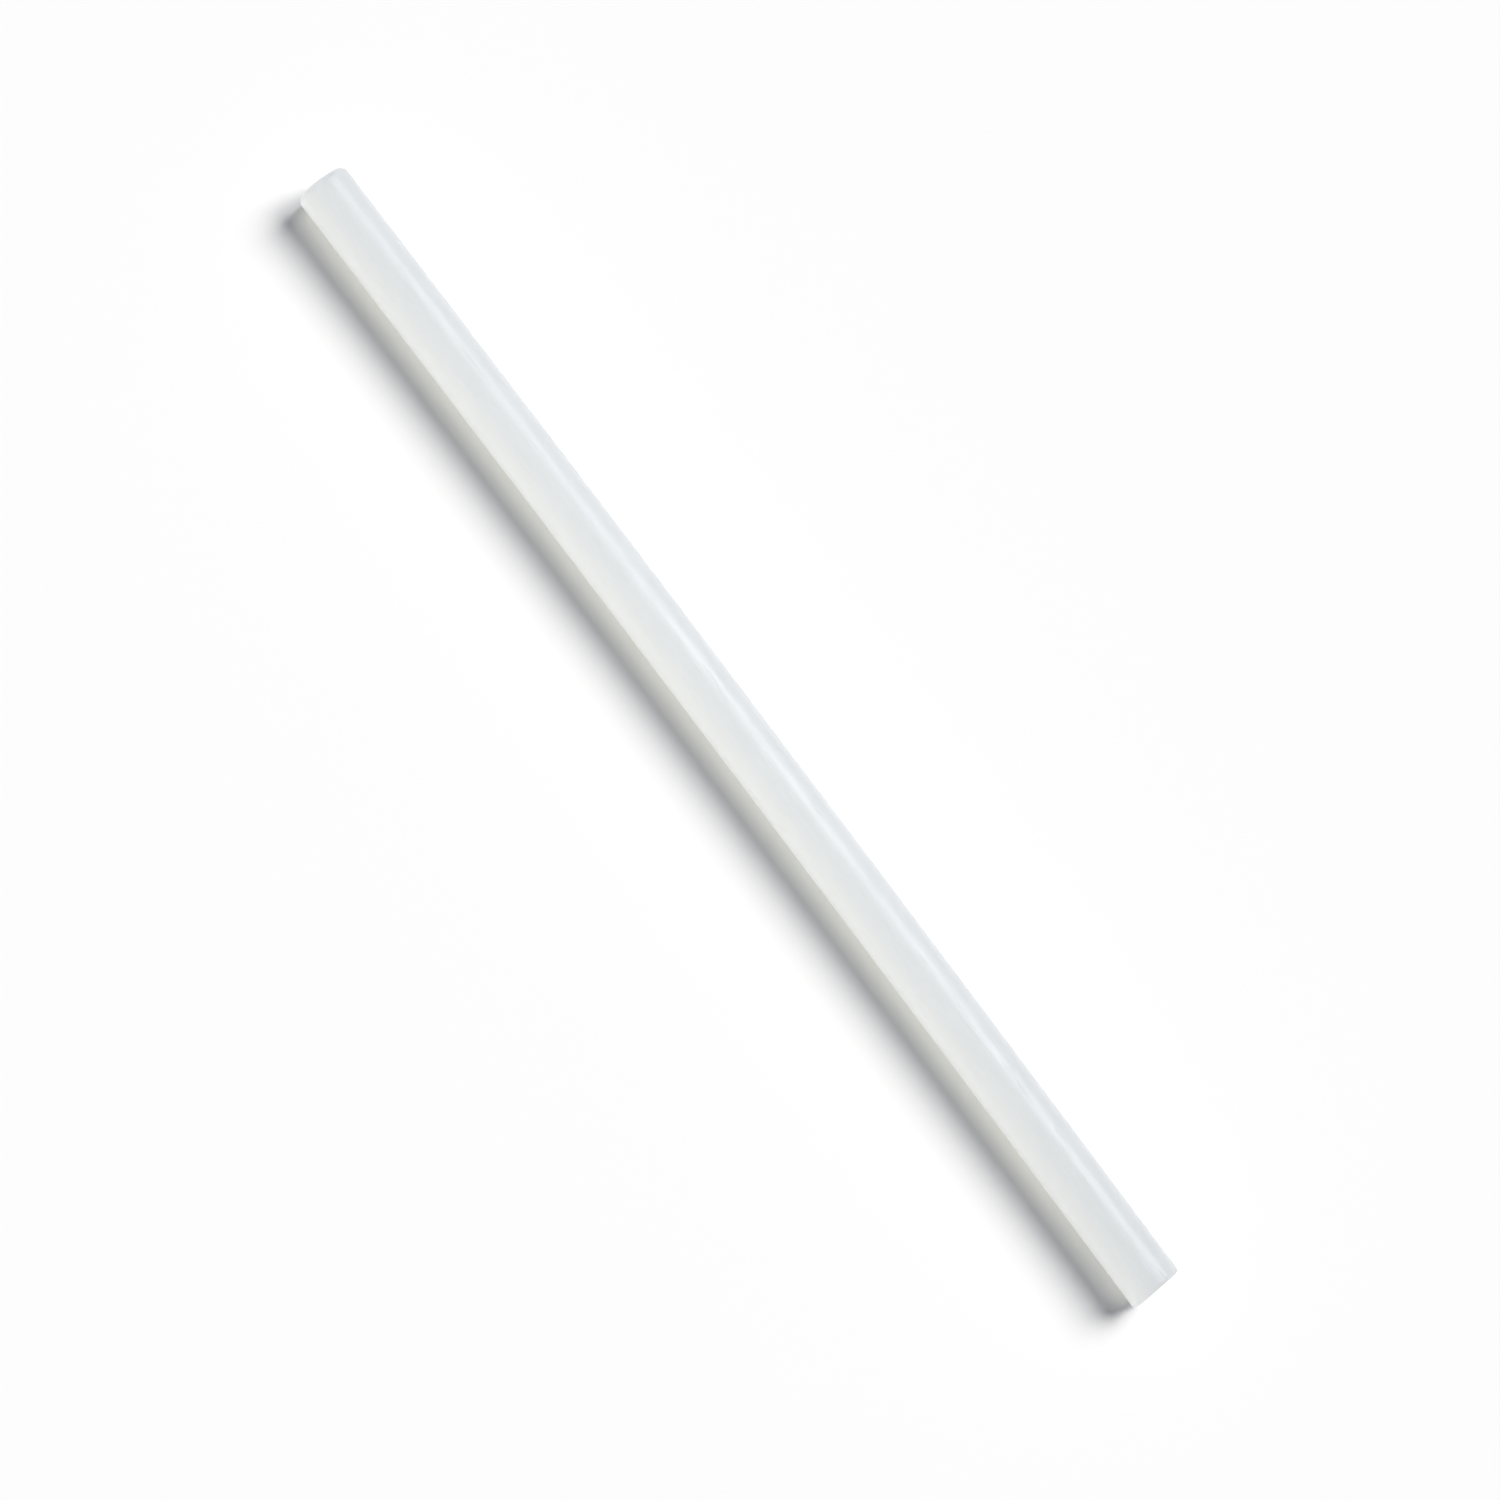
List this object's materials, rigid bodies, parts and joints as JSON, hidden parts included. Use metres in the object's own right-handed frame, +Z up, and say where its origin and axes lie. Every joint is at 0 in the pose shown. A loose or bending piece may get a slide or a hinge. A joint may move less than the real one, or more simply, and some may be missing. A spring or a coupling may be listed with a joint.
{
  "type": "hot melt glue stick",
  "caption": "Solid round rod of milky translucent hot-melt adhesive, chopped square at both ends with softly rounded rims.",
  "frame": {"origin": "under the middle of the rod, on the line where it rests on a flat surface", "axes": "+X along the rod towards the end with the sharper rim, +Z up, +Y level and across the rod"},
  "size_m": [0.27, 0.0112, 0.0113],
  "materials": {
    "hot_melt_adhesive": "satin, milky translucent, waxy"
  },
  "bodies": {
    "root": {"glue_stick": "hot_melt_adhesive"}
  },
  "joints": []
}
